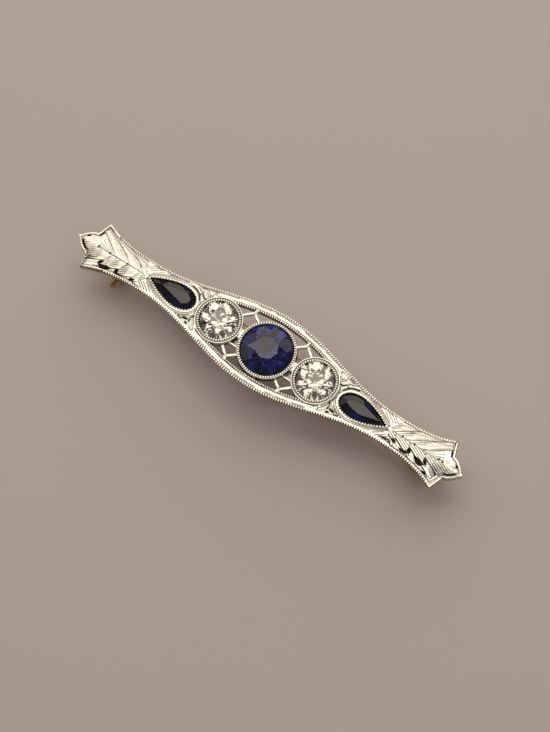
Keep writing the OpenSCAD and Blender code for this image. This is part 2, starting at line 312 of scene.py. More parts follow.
def gold():
    # Yellow gold of about 15 carats, polished long ago: scratches rubbed along the bar,
    # about 0.12 mm apart, make its shine streaky
    look = bpy.context.scene.brooch_metal
    material = new_material("yellow_gold_polished")
    tree = material.node_tree
    coords = add_node(tree, "TexCoord", (-1200, 0))
    stretch = add_node(tree, "Mapping", (-1000, 0),
                       [(coords.outputs["Object"], "Vector")], in_Scale=(0.12, 1.0, 1.0))
    rubs = add_node(tree, "TexNoise", (-800, 0), [(stretch.outputs["Vector"], "Vector")],
                    in_Scale=1 / (0.12 * MM), in_Detail=2.0)
    rough = add_node(tree, "MapRange", (-500, 0), [(rubs.outputs["Fac"], "Value")],
                     in_To_Min=0.14, in_To_Max=0.34)
    bump = add_node(tree, "Bump", (-500, -300), [(rubs.outputs["Fac"], "Height")],
                    in_Strength=0.3, in_Distance=0.01 * MM)
    shader = add_node(tree, "BsdfPrincipled", (-200, 0),
                      [(rough.outputs["Result"], "Roughness"), (bump.outputs["Normal"], "Normal")],
                      in_Base_Color=srgb(look.gold), in_Metallic=1.0)
    add_node(tree, "OutputMaterial", (100, 0), [(shader.outputs["BSDF"], "Surface")])
    return material


def gem(name, hex_colour, deep_colour, ior):
    # Sapphire or diamond, cut and polished: clear, with sharp flat facets that mirror and
    # refract, its colour grown in zones of about 1 mm and its facets faintly rubbed
    material = new_material(name)
    tree = material.node_tree
    coords = add_node(tree, "TexCoord", (-1000, 0))
    zones = add_node(tree, "TexNoise", (-800, 100), [(coords.outputs["Object"], "Vector")],
                     in_Scale=1 / (1.1 * MM), in_Detail=1.5)
    colour = add_node(tree, "Mix", (-500, 100), [(zones.outputs["Fac"], "Factor")],
                      data_type="RGBA", in_A=srgb(hex_colour), in_B=srgb(deep_colour))
    rubs = add_node(tree, "TexNoise", (-800, -200), [(coords.outputs["Object"], "Vector")],
                    in_Scale=1 / (0.25 * MM), in_Detail=2.0)
    rough = add_node(tree, "MapRange", (-500, -200), [(rubs.outputs["Fac"], "Value")],
                     in_From_Min=0.5, in_To_Min=0.0, in_To_Max=0.05)
    shader = add_node(tree, "BsdfPrincipled", (-200, 0),
                      [(colour.outputs["Result"], "Base Color"),
                       (rough.outputs["Result"], "Roughness")],
                      in_IOR=ior, in_Transmission_Weight=1.0)
    add_node(tree, "OutputMaterial", (100, 0), [(shader.outputs["BSDF"], "Surface")])
    return material


def quarter_outline():
    """Outline of one quarter in plan, from the middle to just short of the tip."""
    x = np.concatenate([np.linspace(0, CORNER_X, 160),
                        np.linspace(NOTCH[0], TIP_X, 12)[:-1]])
    return np.stack([x, outline_half(x)], -1)


OUTLINE = quarter_outline()
# Grooves between the lobes of the leaf ends, far side first: where each leaves the
# midrib, and how far it runs along the bar for each mm across
LOBE_ROOTS = np.array([[17.75, 18.6, 20.5, 22.8], [17.75, 18.9, 20.9, 23.2]])
LOBE_SLANTS = np.array([[0.7, 1.45, 1.55, 1.35], [0.7, 0.5, 0.5, 0.6]])
# Corners of the pockets struck below the near lobes, with the darkness painted in each, as painted
# shade
POCKETS = (((17.1, 1.45), (18.0, 1.15), (18.8, 1.11), (19.2, 1.66), (18.3, 1.56), 0.7),
           ((18.8, 0.69), (19.45, 0.86), (19.6, 1.15), (19.25, 1.27), (18.9, 1.06), 1.0),
           ((20.1, 1.3), (21.25, 1.2), (21.25, 1.62), (20.4, 1.6), 0.8),
           ((21.25, 0.64), (21.65, 0.78), (21.75, 1.15), (21.4, 1.53), (21.1, 1.53), 1.0),
           ((22.1, 1.1), (22.95, 1.1), (24.0, 1.45), (23.5, 1.92), (22.9, 1.84), 1.0),
           ((23.45, 0.7), (23.95, 0.9), (24.2, 1.25), (23.9, 1.5), (23.6, 1.2), 1.0),
           ((24.05, 2.13), (24.4, 2.1), (24.85, 2.33), (24.4, 2.5), (24.1, 2.38), 1.0),
           ((25.2, 2.6), (25.6, 2.6), (25.6, 2.95), (25.3, 2.88), 1.0),
           ((24.3, 0.74), (25.65, 1.14), (25.6, 1.34), 0.9),
           ((24.7, 1.1), (25.7, 1.5), (25.6, 1.68), 0.9),
           ((25.6, 1.6), (25.95, 1.65), (25.85, 2.33), (25.62, 2.2), 0.9))
# Corners of the bright flats left standing between the pockets and the beads
FLATS = (((19.2, 1.16), (19.7, 1.25), (20.25, 1.76), (19.5, 1.66)),
         ((21.4, 1.75), (22.1, 1.36), (22.9, 1.9), (23.1, 2.15), (22.2, 1.9)),
         ((24.0, 1.65), (24.5, 1.45), (25.65, 2.38), (25.3, 2.6), (24.8, 2.35)))
# Punch marks along the midribs: end (1 right, -1 left), |x| and |y|
PUNCHES = ((1, 19.9, 0.1), (1, 21.6, 0.1), (1, 25.05, 0.16), (1, 25.6, 0.12),
           (-1, 21.0, 0.0), (-1, 23.7, 0.0), (-1, 25.45, 0.04))
# Ends of the edge's bead rows; a smooth rolled rim runs on to the corners
GRAIN_FAR = (-23.6, 25.6)
GRAIN_NEAR = (-23.1, 25.3)
# Strokes cut into the cheeks between diamond and pear, far side and near side: places along each,
# its half width and its darkness, partly soiling and partly painted shade
CHEEK_CUTS = ((1, ((9.95, 1.35), (10.4, 1.5), (10.95, 2.05)), 0.1, 0.6),
              (1, ((10.7, 0.98), (11.15, 1.55), (11.7, 1.86), (12.35, 2.02)), 0.15, 0.9),
              (1, ((10.95, 1.62), (10.97, 1.62)), 0.12, 0.8),
              (1, ((11.15, 2.1), (11.3, 2.06)), 0.09, 0.7),
              (1, ((9.75, 2.05), (10.1, 2.3)), 0.07, 0.4),
              (-1, ((10.05, 1.2), (10.35, 1.7), (10.25, 2.1)), 0.12, 0.7),
              (-1, ((10.65, 2.0), (11.05, 2.08)), 0.15, 1.0),
              (-1, ((10.35, 2.48), (10.6, 2.42)), 0.12, 0.9),
              (-1, ((10.75, 1.45), (11.2, 1.85), (11.9, 2.02)), 0.08, 0.6),
              (-1, ((11.75, 2.22), (11.9, 2.18)), 0.1, 0.9),
              (-1, ((12.15, 2.2), (12.3, 2.15)), 0.08, 0.8))
# Corners of the bright leaflets standing on the darker ground of the cheeks
CHEEK_LEAVES = ((1, ((9.35, 2.95), (10.3, 2.75), (10.35, 2.2), (9.9, 1.85))),
                (1, ((10.6, 1.75), (11.0, 2.45), (11.55, 2.35), (11.3, 1.95))),
                (1, ((11.3, 2.6), (11.4, 2.25), (12.5, 2.15), (12.6, 2.3))),
                (-1, ((9.5, 2.9), (10.2, 2.85), (10.6, 2.55), (10.0, 2.35))),
                (-1, ((10.0, 1.5), (10.3, 2.1), (10.6, 1.95), (10.35, 1.4))),
                (-1, ((11.9, 2.4), (12.0, 2.0), (12.9, 2.05), (12.8, 2.25))))
# Graver lines along the border: side, inset from the edge, seed and least strength of the hand,
# |x| over which the line fades out, depth and darkness, partly soiling and partly painted shade
BORDER_LINES = ((1, 0.36, 1.3, 0.1, (17.8, 17.2), 0.1, 0.8),
                (-1, 0.5, 5.1, 0.2, (12.0, 11.0), 0.025, 0.3),
                (1, 0.6, 2.3, 0.3, (12.0, 11.0), 0.01, 0.18))
# Contour lines round the pear stones: distance from the stone and depth
CONTOURS = ((0.4, 0.07), (0.6, 0.056), (0.84, 0.049))
# Curled leaflets at the waist: both ends of each stroke
WAIST_LEAFLETS = (((16.5, 1.52), (17.6, 0.72)), ((16.9, 1.66), (18.0, 0.86)),
                  ((17.3, 1.72), (18.3, 0.98)), ((17.75, 1.72), (18.5, 1.15)))
# Fan of fine cuts in the point: where each starts, its slope and its length along the bar
FAN_CUTS = ((23.2, 0.72, 1.9), (23.5, 0.52, 1.9), (23.9, 0.34, 1.6), (24.5, 0.18, 1.1))
# Small raised knob in the near cheeks: its middle and radius
KNOB = (11.42, 2.18, 0.2)

# Round collets: name, place, stone's radius, outer radius, height of the rim, width of the lip and
# of the collar, and the painted shade inside
DIAMOND_COLLET = (DIAMOND_R, DIAMOND_COLLET_R, DIAMOND_RIM, 0.11, 0.03, 0.15)
COLLETS = (("collet_center", 0.0, SAPPHIRE_R, SAPPHIRE_COLLET_R, RIM_Z, 0.07, 0.16, 0.85),
           ("collet_left", -DIAMOND_X, *DIAMOND_COLLET),
           ("collet_right", DIAMOND_X, *DIAMOND_COLLET))
# Section of the pears' settings: distance out from the stone, and up from the face
PEAR_SECTION = np.array([(0.01, -0.06), (0.03, -0.08), (0.2, -0.08), (0.23, 0.03),
                         (0.3, 0.02), (0.34, -0.06), (0.34, -1.85), (-0.1, -1.85),
                         (-0.1, -0.35), (0.02, -0.25), (0.01, -0.1)])
# Half the length, width and height of the beads of each kind of row
COLLET_BEAD = (0.106, 0.15, 0.11)
GALLERY_BEAD = (0.096, 0.15, 0.12)
PEAR_BEAD = (0.112, 0.13, 0.12)
# Bead rows of the two edges: name, side, ends, inset from the edge, depth below the face and
# size of the beads. The near row stands out from the wall and runs down it.
EDGE_ROWS = (("far", 1, GRAIN_FAR, 0.13, 0.0, (0.102, 0.2, 0.12)),
             ("near", -1, GRAIN_NEAR, 0.05, 0.1, (0.122, 0.18, 0.22)))
# Bead rows along the openings: ends, and inset from the edge
GALLERY_ENDS = (-8.6, 8.6)
GALLERY_INSET = 1.02
# Bars in one quarter of the gallery, three of which meet at a joint: both ends, top on the
# far and the near side, depth and width
JOINT = (3.95, 3.35)
GALLERY_BARS = (((3.78, 4.05), JOINT, (6.88, 6.88), 0.45, 0.44),
                (JOINT, (2.8, 2.42), (6.86, 6.86), 0.45, 0.37),
                (JOINT, (5.2, 2.2), (6.86, 6.86), 0.45, 0.37),
                ((3.2, 1.6), (4.75, 1.6), (6.35, 6.78), 0.4, 0.26))
BRIDGE_X = 3.93

# Softboxes: name, place, size and power, in metres and watts
LIGHTS = (("key", (-0.079, 0.113, 0.4), (0.26, 0.21), 0.24),
          ("key_left", (-0.251, 0.0, 0.37), (0.11, 0.28), 0.115),
          ("key_right", (0.093, 0.226, 0.37), (0.11, 0.28), 0.125),
          ("key_back", (-0.17, 0.255, 0.34), (0.34, 0.1), 0.14),
          ("key_front", (0.066, -0.095, 0.41), (0.34, 0.09), 0.09),
          ("back", (-0.34, 0.68, 0.33), (1.15, 0.42), 1.2),
          ("left", (-0.64, -0.04, 0.3), (0.74, 0.36), 0.28),
          ("back_right", (0.26, 0.5, 0.26), (0.22, 0.26), 0.1),
          ("spark_right", (0.33, -0.11, 0.34), (0.14, 0.1), 0.05))
# Height in mm of the point that the camera is turned to, and how far to the right and up of
# it the middle of the picture lies
AIM_Z = 6.0
AIM_SHIFT = (1.02, -1.6)


def hand(x, seed, low):
    """Strength of a hand-cut line along the bar, between low and 1."""
    wave = np.sin(x * 1.7 + seed) + np.sin(x * 0.83 + seed * 2.1) + np.sin(x * 3.1 - seed)
    return low + (1 - low) * smooth(-1.2, 1.4, wave)


def depth_inside(ax, ay, corners):
    """Distance in mm inside an outline with outward corners, negative outside it."""
    corners = np.asarray(corners)
    ahead = np.roll(corners, -1, 0) - corners
    turn = np.sign(ahead[0, 0] * ahead[1, 1] - ahead[0, 1] * ahead[1, 0])
    best = np.full(len(ax), 1e9)
    for (x, y), (dx, dy) in zip(corners, ahead):
        side = (dx * (ay - y) - dy * (ax - x)) / math.hypot(dx, dy)
        best = np.minimum(best, turn * side)
    return best


class Carving:
    """Height in mm and darkness over a patch of the plaque's face, while it is carved; the
    darkness is partly soiling and partly painted shade.
    """

    def __init__(self, height):
        self.z = height
        self.dark = np.zeros(len(height))

    def engrave(self, stroke, depth=0.0, tone=0.0):
        """Sinks a stroke, 0 to 1 over the face, and darkens it; a negative depth raises it."""
        self.z = self.z - depth * stroke
        self.dark = self.dark + tone * stroke

    def lay(self, cover, height, dark):
        """Puts another height and darkness where cover is 1."""
        self.z = self.z * (1 - cover) + cover * height
        self.dark = self.dark * (1 - cover) + cover * dark


def leaf_relief(ax, ay, d, near, left_end):
    """Carving of a leaf, for |x|, |y| and the distance from the edge, and where it lies."""
    pick = near.astype(int)
    roots, slants = LOBE_ROOTS[pick], LOBE_SLANTS[pick]
    grooves = roots + slants * ay[:, None] ** 1.08
    index = (ax[:, None] >= grooves).sum(1)
    last = grooves.shape[1]
    row = np.arange(len(ax))
    behind = np.clip(index - 1, 0, last - 1)
    left = grooves[row, behind]
    right = grooves[row, np.clip(index, 0, last - 1)]
    lobe = (index > 0) & (index < last)
    point = index == last
    width = np.where(lobe, right - left, 2.2)
    phase = np.where(lobe | point, (ax - left) / np.maximum(width, 0.05), 0.5)
    phase = np.clip(phase, 0, 1)
    across = width / np.hypot(1, slants[row, behind])

    # Far lobes are scooped: each falls a little from the groove behind it and lifts
    # towards the next one
    scoop = 0.15 * phase ** 1.6 - 0.05 * np.sin(np.pi * phase)
    scoop = np.where(point, 0.03 * phase, scoop) * smooth(0.0, 0.8, ay) * ~near
    leaf = Carving(np.where(near, 0.05, 0.02) + scoop - 0.02 * ay)
    edge = cut(np.where(index > 1, phase, 1) * across, 0.09) * smooth(0.08, 0.25, ay)
    leaf.engrave(edge, 0.05, np.where(near, np.where(left_end, 0.35, 0.7),
                                      0.45 - 0.25 * smooth(0.6, 1.4, ay)))
    # Painted shade over the back half of each far lobe, away from the midrib, so that each lobe
    # looks lit towards its front; lighter on the left end
    shade = smooth(0.0, 0.15, phase) * smooth(0.62, 0.35, phase) * smooth(0.6, 1.3, ay)
    leaf.engrave(shade * lobe * ~near, tone=np.where(left_end, 0.16, 0.26))
    for k, vein in enumerate((0.27, 0.48)):
        reach = smooth(1.5 - 0.3 * k, 1.0 - 0.3 * k, ay) * smooth(0.08, 0.25, ay) * lobe * ~near
        line = cut(np.abs(phase - vein) * across, 0.09) * reach
        leaf.engrave(line * np.where(left_end, 0.8 - 0.6 * k, 1.0), 0.03, 0.42)

    # Near lobes are hatched flat blades that end above the pockets. The real hatching is
    # 0.2 mm apart, too fine for this view, and is drawn at 0.3 mm.
    below = ay - np.where(left_end, 0.85, 0.42) - 0.47 * (ax - roots[row, behind])
    blade = smooth(0.06, 0.0, below) * near
    hatch = np.abs((below / HATCH_PITCH) % 1 - 0.5) * HATCH_PITCH
    line = cut(HATCH_PITCH / 2 - hatch, 0.08) * blade * smooth(0.08, 0.2, ay) * (index > 0)
    leaf.engrave(line * np.where(left_end, hand(ax * 1.6, 2.0, 0.0), 1.0), 0.03, 0.42)
    leaf.engrave(blade, -0.05)
    # Below the blades the face is sunk and painted darker, with a darker line along each blade's
    # edge: painted shade under the blades
    leaf.engrave(near - blade, 0.05, 0.22)
    leaf.engrave(cut(np.abs(below), 0.08) * near, tone=0.4)
    # On the left end the blades carry painted shade, darker away from the midrib, and are left
    # light near their tips as a painted highlight
    flare = smooth(-0.5, -0.15, below) * smooth(0.55, 0.25, phase)
    shade = 0.12 + 0.28 * smooth(0.1, 0.9, ay)
    leaf.engrave((1 - flare) * blade * left_end, tone=shade)

    # The last leaflet fills the point, with fine cuts that fan out from the midrib
    for x0, slope, reach in FAN_CUTS:
        line = cut(distance_to(np.stack([ax, ay], -1),
                               [(x0 + 0.15, 0.1), (x0 + reach, 0.1 + slope * reach)]), 0.08)
        leaf.engrave(line * point * ~near, 0.03, 0.35)
    # Painted shade over the outer part of the point, and more on the near right, where the last
    # leaflet falls away
    leaf.engrave(point * smooth(24.5, 26.0, ax), tone=0.15)
    falling_away_shade = point * near * smooth(24.3, 25.2, ax) * smooth(0.2, 0.6, ay)
    leaf.engrave(falling_away_shade * ~left_end, tone=0.3)

    # Ends of the far lobes dip to the border in scallops, those of the near lobes past a row of
    # grains. The dips are painted darker, more on the far side, and the troughs between the grains
    # are painted dark: painted shade.
    bay = np.where(near, 0.5, 0.44 + 0.55 * (1 - phase) ** 1.5 * lobe)
    dip = smooth(bay, bay - 0.12, d) * ~(point & (ax > 25.2))
    leaf.lay(dip, -np.where(near, 0.04, 0.09), np.where(near, 0.15, 0.36) + 0.3 * leaf.dark)
    ripple = np.cos(2 * np.pi * ax / GRAIN_PITCH)
    leaf.engrave(cut(np.abs(d - 0.42), 0.13) * near * smooth(25.4, 25.0, ax),
                 -0.05 - 0.05 * ripple, 0.7 * np.clip(-ripple, 0, 1))
    midrib = cut(ay, 0.09) * smooth(18.2, 18.6, ax) * smooth(25.4, 25.1, ax)
    leaf.engrave(midrib, 0.04, 0.35)
    return leaf, index > 0


def relief(x, y):
    """Carving of the plaque's face in mm above or below it, with the darkness painted into its
    cuts and hollows, partly soiling and partly painted shade, mostly darker on the near side.
    """
    ax, ay = np.abs(x), np.abs(y)
    near, left_end = y < 0, x < 0
    points = np.stack([ax, ay], -1)
    d = distance_to(points, OUTLINE)
    face = Carving(np.zeros(len(ax)))

    # Gaps of the outer millegrain, painted dark under the beads as painted shade between them,
    # darker on the near side, and the graver lines inside it
    bead_end = np.where(near, np.where(left_end, -GRAIN_NEAR[0], GRAIN_NEAR[1]),
                        np.where(left_end, -GRAIN_FAR[0], GRAIN_FAR[1]))
    channel = np.where(near, smooth(0.17, 0.09, d), smooth(0.26, 0.16, d))
    channel = channel * smooth(bead_end + 0.3, bead_end, ax)
    face.engrave(channel, 0.16, np.where(near, 1.0, 0.9 - 0.25 * smooth(17, 19, ax)))
    for side, inset, seed, low, fade, depth, tone in BORDER_LINES:
        line = cut(np.abs(d - inset), 0.06) * hand(x, seed, low) * smooth(*fade, ax)
        face.engrave(line * (near if side < 0 else ~near), depth, tone)

    # Inner line and inner bead channel of the pierced middle; from the channel inwards the strip
    # is painted fully dark, as painted shade under the gallery's beads and beside the openings
    middle = smooth(9.4, 8.4, ax)
    line = cut(np.abs(d - 0.8), 0.05) * middle * hand(x, 4.0 + near, 0.5)
    face.engrave(line, 0.06, 0.6)
    face.engrave(smooth(0.88, 0.94, d) * middle, 0.12, 1.0)

    # Contour lines round each pear stone, crossing beyond its point, painted darker on the near
    # side as painted shade
    for offset, depth in CONTOURS:
        side = pear_points(PEAR_L + 2 * offset, PEAR_W + 2 * offset, 40, 0.5, math.pi)
        crossing = [(18.6 + offset * 0.5, -0.42), (18.0 + offset * 0.6, 0.0)]
        path = np.concatenate([crossing, side + (PEAR_X, 0)])
        reach = 1.0 if offset < 0.7 else smooth(14.0, 15.5, ax) * smooth(0.32, 0.42, d)
        for sign in (1, -1):
            groove = cut(distance_to(points, path * (1, sign)), 0.055) * reach
            face.engrave(groove, depth, np.where(near, 0.42, 0.3))

    # Ground of the cheeks between the diamond's collet and the pear, with its leaflets; the sunk
    # ground is painted darker than the leaflets, as painted shade
    collet_d = np.hypot(ax - DIAMOND_X, ay) - DIAMOND_COLLET_R
    pear_line = pear_points(PEAR_L, PEAR_W, 60) + (PEAR_X, 0)
    ground = smooth(0.24, 0.34, collet_d) * smooth(0.86, 0.96, distance_to(points, pear_line))
    ground = ground * smooth(0.4, 0.5, d) * smooth(9.1, 9.4, ax) * smooth(13.4, 12.8, ax)
    standing = np.zeros(len(ax))
    for side, corners in CHEEK_LEAVES:
        inside = depth_inside(ax, ay, corners) * (side * y > 0)
        standing = np.maximum(standing, np.clip(inside, 0, 0.3))
    face.engrave(ground * standing, -0.12)
    face.engrave(ground * (1 - smooth(0.0, 0.06, standing)), 0.05, 0.34)

    # Ring beside the diamond's collet and the leaf strokes of the cheeks
    cheek = smooth(9.3, 9.6, ax) * smooth(13.2, 12.8, ax)
    face.engrave(cut(np.abs(collet_d - 0.16), 0.11) * cheek, 0.07, 0.55)
    for side, path, wide, tone in CHEEK_CUTS:
        stroke = cut(distance_to(points, path), wide) * (side * y > 0)
        face.engrave(stroke, 0.8 * wide)
        face.engrave(smooth(0.1, 0.6, stroke), tone=tone)
    # Raised knob in the near cheek, with a ring of painted shade round its foot
    knob = np.hypot(ax - KNOB[0], ay - KNOB[1]) / KNOB[2]
    face.engrave(np.sqrt(np.clip(1 - knob ** 2, 0, 1)) * near, -0.08)
    face.engrave(cut(np.abs(knob - 1.15), 0.3) * near, tone=0.5)

    # Curled leaflets at the waist, beside the crossing of the contour lines
    for ends in WAIST_LEAFLETS:
        stroke = cut(distance_to(points, ends), 0.08)
        face.engrave(stroke, 0.04, np.where(near, 0.45, 0.35))

    # Leaf of the end, inside its rim
    leaf, on_leaf = leaf_relief(ax, ay, d, near, left_end)
    face.lay(on_leaf * smooth(0.24, 0.3, d), leaf.z, np.clip(leaf.dark, 0, 1))

    # Near side: flats left standing, and pockets painted dark as painted shade, further out on the
    # left end
    px, py = ax - 0.25 * left_end, ay - 0.5 * left_end
    inside = near * smooth(0.22, 0.3, d)
    for flat in FLATS:
        face.lay(smooth(0.0, 0.06, depth_inside(px, py, flat)) * inside, 0.06, 0)
    for *corners, tone in POCKETS:
        sunk = np.clip(depth_inside(px, py, corners), 0, 0.16) * inside
        face.engrave(sunk, 1.1)
        face.engrave(smooth(0.0, 0.08, sunk), tone=0.9 * tone)
    for side, at_x, at_y in PUNCHES:
        punch = cut(np.hypot(ax - at_x, ay - at_y), 0.17) * (side * x > 0)
        face.engrave(punch * ((at_y < 0.05) | ~near), 0.12, 1.2)

    # Rolled rim round the corners and the point, with a groove behind it, cut deeper in a few
    # places and painted much darker there as painted shadow
    rim = smooth(bead_end - 0.2, bead_end + 0.3, ax)
    face.engrave(rim * np.clip(1 - np.abs((d - 0.2) / 0.2) ** 4, 0, 1), -0.09)
    deep = np.where(near, smooth(0.15, 0.35, ay) * smooth(1.1, 0.95, ay),
                    np.maximum(smooth(1.25, 1.4, ay) * smooth(2.05, 1.9, ay),
                               smooth(0.45, 0.5, ay) * smooth(0.75, 0.7, ay)))
    face.engrave(cut(np.abs(d - 0.47), 0.12) * rim, 0.02 + 0.18 * deep, 0.08 + 1.4 * deep)

    # Second, ruled band inside the rim of the near right corner
    band = smooth(0.76, 0.72, d) * near * (x > 25.0) * smooth(1.5, 1.7, ay)
    ruled = 0.5 * cut(np.abs(d - 0.42), 0.07) + 0.7 * cut(np.abs(d - 0.7), 0.08)
    ruled = ruled + 0.4 * cut(np.abs(d - 0.2), 0.07)
    face.lay(band, 0.04 - 0.05 * ruled + 0.05 * smooth(0.4, 0.3, d), ruled)

    # Knurled slanted side of the near left corner, painted darker in the troughs of the knurling
    # as painted shade
    slant = distance_to(points, [(CORNER_X, CORNER_Y), NOTCH])
    band = smooth(0.42, 0.36, slant) * near * left_end * smooth(1.5, 1.7, ay)
    knurl = 0.5 - 0.5 * np.cos(2 * np.pi * ay / KNURL_PITCH)
    face.lay(band, 0.08 * knurl, 0.75 - 0.55 * knurl)
    return face.z, np.clip(face.dark, 0, 1)


def build_strip(name, side):
    """One border strip of the pierced middle, with its walls."""
    # Insets in mm of the rows of vertices, closer together where beads and lines are cut
    across = (0.06, 0.1, 0.14, 0.17, 0.2, 0.23, 0.26, 0.3, 0.33, 0.36, 0.39, 0.44, 0.47, 0.5,
              0.53, 0.57, 0.6, 0.63, 0.7, 0.75, 0.78, 0.8, 0.82, 0.85, 0.88, 0.91, 0.94, 1.02,
              1.1)

    def place(u, v):
        x = (2 * u - 1) * STRIP_END
        y = half_width(x) - np.interp(v, np.linspace(0, 1, len(across)), across)
        dz, grime_and_shade = relief(x, y)
        return x, side * y, face_height(x) + dz, grime_and_shade

    bm = warped_grid(150, len(across) - 1, place)
    thicken(bm)
    add_piece(name, bm, smooth_angle=38)


def build_end(name, side, replaces=()):
    """One carved end of the plaque, from beside the diamond to the point."""
    def place(u, v):
        x = END_START + (TIP_X - END_START) * u
        t = 2 * v - 1
        edge = np.sign(t) * (1 - (1 - np.abs(t)) ** 1.3)
        y = edge * (outline_half(x) - 0.06 * smooth(25.6, 25.0, x))
        dz, grime_and_shade = relief(side * x, y)
        return side * x, y, face_height(x) + dz, grime_and_shade

    # The collet and the pear's setting stand in wells, which reach just under them
    bm = warped_grid(520, 168, place)
    faces = bm.faces[:]
    centres = np.array([f.calc_center_median() for f in faces])
    ax, ay = np.abs(centres[:, 0]), np.abs(centres[:, 1])
    in_collet = np.hypot(ax - DIAMOND_X, ay) < DIAMOND_COLLET_R - 0.15
    along = (ax - PEAR_X) / ((PEAR_L + 0.25) / 2)
    bow = pear_bow(np.arccos(np.clip(along, -1, 1)))
    in_pear = (np.abs(along) < 1) & (ay < (PEAR_W + 0.3) / 2 * bow)
    wells = [f for f, inside in zip(faces, in_collet | in_pear) if inside]
    bmesh.ops.delete(bm, geom=wells, context="FACES")
    bmesh.ops.remove_doubles(bm, verts=bm.verts, dist=0.0005)
    close_below(bm)
    add_piece(name, bm, replaces=replaces, smooth_angle=38)


def spun_ring(profile, centre_x):
    """A closed ring turned from a profile of (radius, height) points."""
    bm = bmesh.new()
    bm.verts.layers.float.new("grime_and_shade")
    verts = [bm.verts.new((r, 0, z)) for r, z in profile]
    edges = [bm.edges.new((a, b)) for a, b in zip(verts, verts[1:] + verts[:1])]
    bmesh.ops.spin(bm, geom=verts + edges, cent=(0, 0, 0), axis=(0, 0, 1),
                   angle=2 * math.pi, steps=96, use_merge=True)
    bmesh.ops.translate(bm, verts=bm.verts, vec=(centre_x, 0, 0))
    return bm


def paint_grime_and_shade(bm, test):
    """Paints each vertex's darkness, partly soiling and partly painted shade, from its place."""
    layer = bm.verts.layers.float["grime_and_shade"]
    for v in bm.verts:
        v[layer] = test(v.co)


def collet_profile(stone_r, outer_r, rim, lip, collar):
    """Section of a collet: outer lip, collar, cone, seat, lip over the stone, bead channel."""
    ledge = rim - GIRDLE_BELOW_RIM - GIRDLE_T
    foot = outer_r * 0.72
    return [
        (outer_r - 0.03, rim + 0.02), (outer_r, rim - 0.03), (outer_r, rim - 0.16),
        (outer_r, rim - 0.8), (outer_r + collar, rim - 0.88), (outer_r + collar, rim - 1.12),
        (outer_r - 0.06, rim - 1.25), (foot, rim - COLLET_DEPTH),
        (foot - 0.42, rim - COLLET_DEPTH),
        (stone_r - 0.25, ledge - 0.45), (stone_r - 0.25, ledge - 0.31),
        (stone_r + 0.03, ledge - 0.04), (stone_r + 0.03, ledge + 0.15),
        (stone_r - 0.03, rim - 0.16), (stone_r - 0.03, rim - 0.09),
        (outer_r - lip - 0.07, rim - 0.09), (outer_r - lip - 0.03, rim - 0.02),
        (outer_r - lip, rim + 0.02),
    ]


def bead_mesh():
    """A unit bead, a ball with a flattened top, of a few dozen faces."""
    bm = bmesh.new()
    bmesh.ops.create_uvsphere(bm, u_segments=8, v_segments=6, radius=1.0)
    for v in bm.verts:
        r = math.hypot(v.co.x, v.co.y)
        wide = np.interp(r, [0, 0.5, 0.87, 1], [0, 0.72, 0.95, 1])
        high = np.interp(r, [0, 0.5, 0.87, 1], [1, 0.93, 0.5, 0])
        if r > 0.01:
            v.co.x *= wide / r
            v.co.y *= wide / r
        v.co.z = math.copysign(high, v.co.z)
    return finished_mesh("bead", bm)


def spaced(path, pitch):
    """Points along a polyline, one each pitch, with the line's direction at each."""
    path = np.asarray(path, float)
    steps = np.linalg.norm(np.diff(path, axis=0), axis=1)
    s = np.concatenate([[0], np.cumsum(steps)])
    count = round(s[-1] / pitch)
    middles = (np.arange(count) + 0.5) * s[-1] / count

    def at(length):
        return np.stack([np.interp(length, s, path[:, k]) for k in range(3)], -1)

    along = at(middles + 0.01) - at(middles - 0.01)
    return at(middles), np.arctan2(along[:, 1], along[:, 0])


def bead_row(name, path, pitch, size):
    """A row of beads along a path; size is half the length, width and height of each.

    The real beads are 0.27 mm apart, too fine for this view, so the rows are drawn 0.31 to
    0.36 mm apart. Each bead differs a little in size, as rolled ones do."""
    places, turns = spaced(path, pitch)
    rng = np.random.default_rng(len(places))
    sizes = np.array(size) * (1 + rng.uniform(-0.09, 0.09, (len(places), 3)))
    bead = bead_mesh()
    bm = bmesh.new()
    bm.verts.layers.float.new("grime_and_shade")
    for place, turn, size in zip(places, turns, sizes):
        known = len(bm.verts)
        bm.from_mesh(bead)
        bm.verts.ensure_lookup_table()
        bmesh.ops.transform(bm, matrix=placed(place, turn, size), verts=bm.verts[known:])
    bpy.data.meshes.remove(bead)
    add_piece(name, bm, smooth_angle=35)


def inset_line(x0, x1, inset, side):
    """Points along one long edge, set in from it, at the height of the face."""
    x = np.linspace(x0, x1, 400)
    slope = np.gradient(half_width(x), x)
    n = np.stack([slope, -np.ones_like(x)], -1) / np.sqrt(1 + slope ** 2)[:, None]
    p = np.stack([x, half_width(x)], -1) + n * inset
    return np.stack([p[:, 0], side * p[:, 1], face_height(p[:, 0])], -1)


def cut_stone(levels, flat, centre, turn):
    """Convex stone through rings of points at their heights, turned in degrees and placed.

    Facets that meet at less than flat degrees become one."""
    bm = bmesh.new()
    for points, z in levels:
        for x, y in points:
            bm.verts.new((x, y, z))
    bmesh.ops.convex_hull(bm, input=bm.verts)
    bmesh.ops.dissolve_limit(bm, angle_limit=math.radians(flat), verts=bm.verts,
                             edges=bm.edges)
    bmesh.ops.transform(bm, matrix=placed(centre, math.radians(turn), (1, 1, 1)),
                        verts=bm.verts)
    return bm


